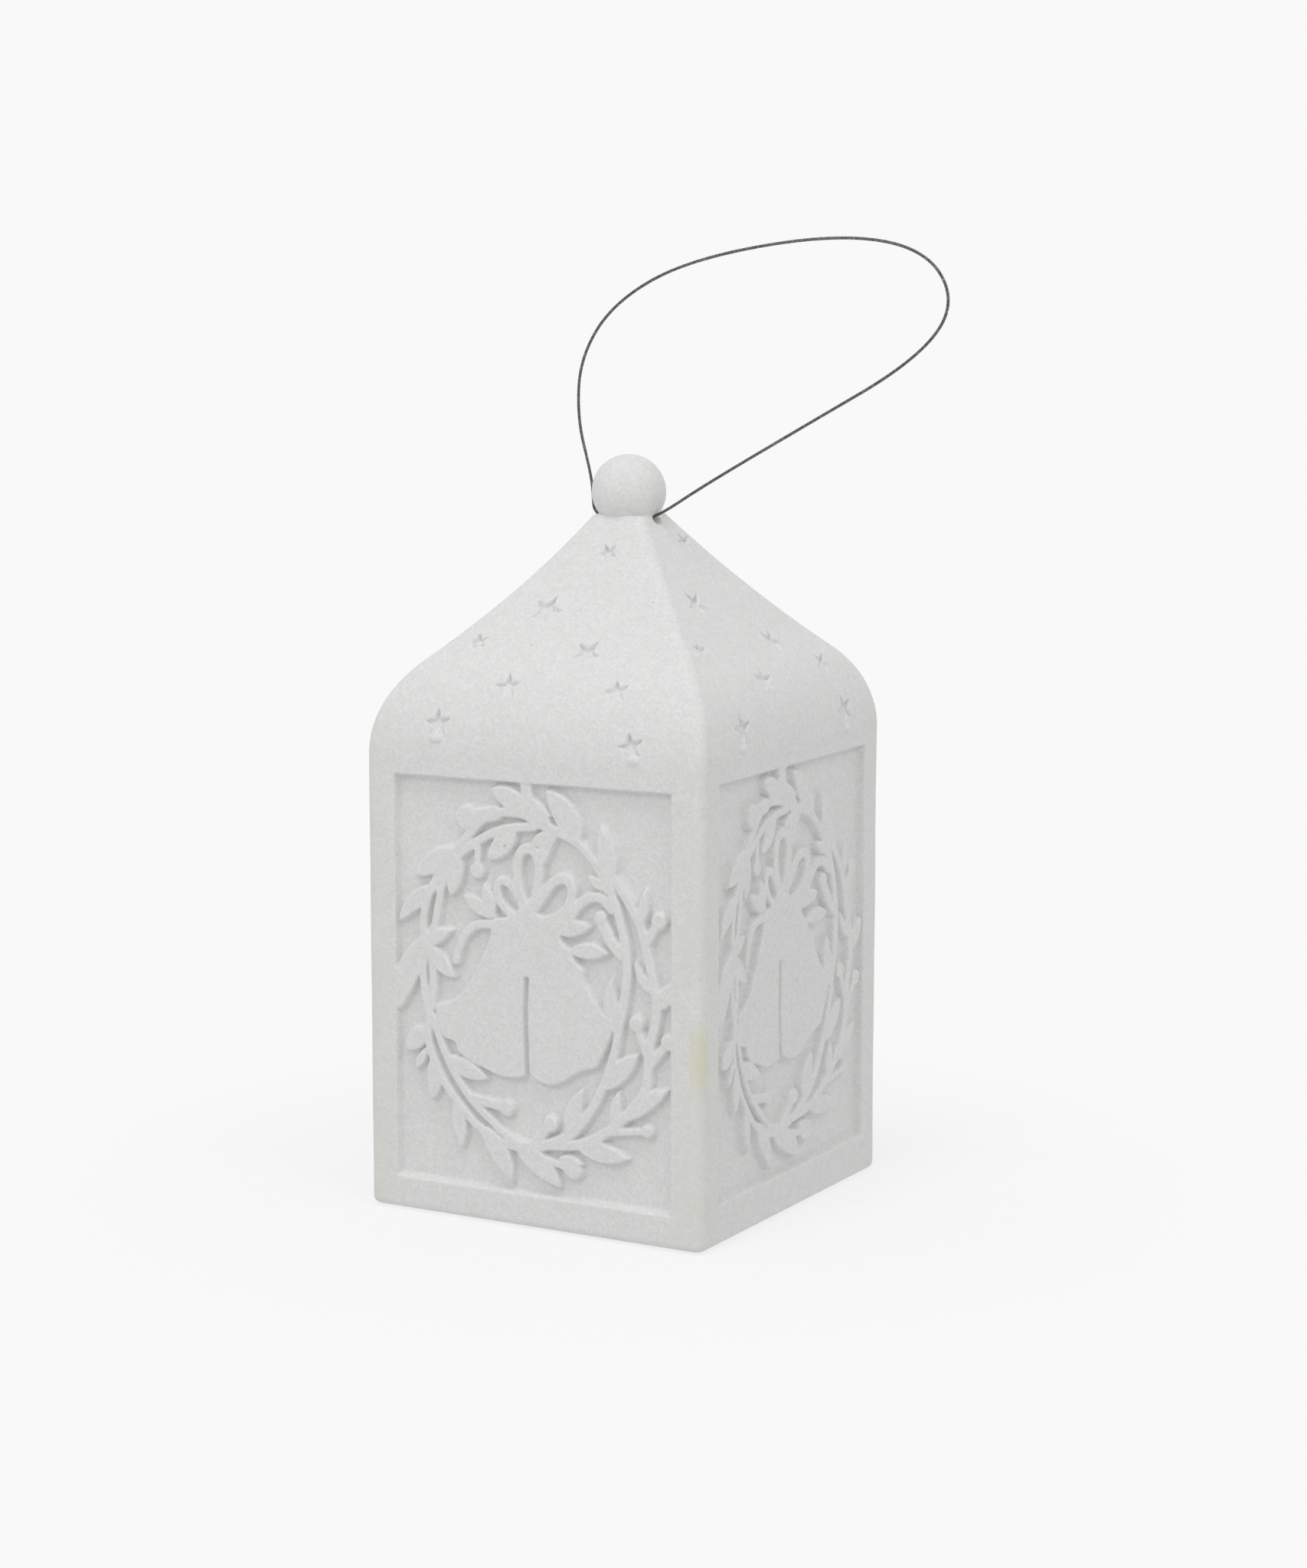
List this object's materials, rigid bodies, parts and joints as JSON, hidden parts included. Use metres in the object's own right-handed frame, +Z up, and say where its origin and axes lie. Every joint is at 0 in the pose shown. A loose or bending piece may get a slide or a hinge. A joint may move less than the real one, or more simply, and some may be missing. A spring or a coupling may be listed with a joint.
{
  "type": "hanging lantern ornament",
  "caption": "Square white stone-resin lantern ornament with an ogee roof, ball finial, recessed panels, star pockets, a steel hanging loop and a battery lamp in its base.",
  "frame": {"origin": "middle of the underside of the casting, on the surface it stands on", "axes": "+Z up through the ball finial; -Y is the front face; the wire's bore runs along X"},
  "size_m": [0.0869, 0.0612, 0.155],
  "materials": {
    "stone_resin": "cast marble and resin, fine bright grain, matt",
    "steel_rope": "thin stranded steel rope, dull",
    "ferrule": "crimped steel sleeve",
    "housing_plastic": "white moulded ABS, fine matt",
    "grip_rubber": "milky silicone rubber",
    "board": "green solder mask",
    "chip": "black moulded epoxy",
    "resistor": "black film on ceramic",
    "led_epoxy": "water-clear epoxy over a warm phosphor",
    "tinned": "tinned steel",
    "contact": "nickel-plated spring strip",
    "switch_case": "pressed steel case",
    "knob": "black nylon",
    "cell": "stainless steel can",
    "screw": "zinc-plated steel"
  },
  "bodies": {
    "lantern": {"lantern_body": "stone_resin"},
    "hanger": {"hanging_wire": "steel_rope", "wire_ferrule": "ferrule"},
    "lamp": {"lamp_housing": "housing_plastic", "base_plate": "housing_plastic", "grip_ring": "grip_rubber", "circuit_board": "board", "timer_chip": "chip", "resistor": "resistor", "led": "led_epoxy", "led_leads": "tinned", "contact_positive": "contact", "contact_negative": "contact", "switch_body": "switch_case"},
    "switch": {"switch_knob": "knob"},
    "door": {"battery_door": "housing_plastic", "door_screws": "screw"},
    "cell": {"coin_cell": "cell"}
  },
  "joints": [
    {"name": "hanger_swing", "type": "hinge", "parent": "lantern", "child": "hanger", "pos_m": [0, 0, 0.11], "axis": [1, 0, 0], "range_deg": [-90, 90]},
    {"name": "lamp_pull", "type": "slide", "parent": "lantern", "child": "lamp", "axis": [0, 0, -1], "range_m": [0, 0.03]},
    {"name": "switch_slide", "type": "slide", "parent": "lamp", "child": "switch", "axis": [1, 0, 0], "range_m": [0, 0.002]},
    {"name": "door_drop", "type": "slide", "parent": "lamp", "child": "door", "axis": [0, 0, -1], "range_m": [0, 0.012]},
    {"name": "cell_drop", "type": "slide", "parent": "lamp", "child": "cell", "axis": [0, 0, -1], "range_m": [0, 0.006]}
  ],
  "couplings": [
    {"joint": "cell_drop", "follows": "door_drop", "ratio": 0.5}
  ]
}
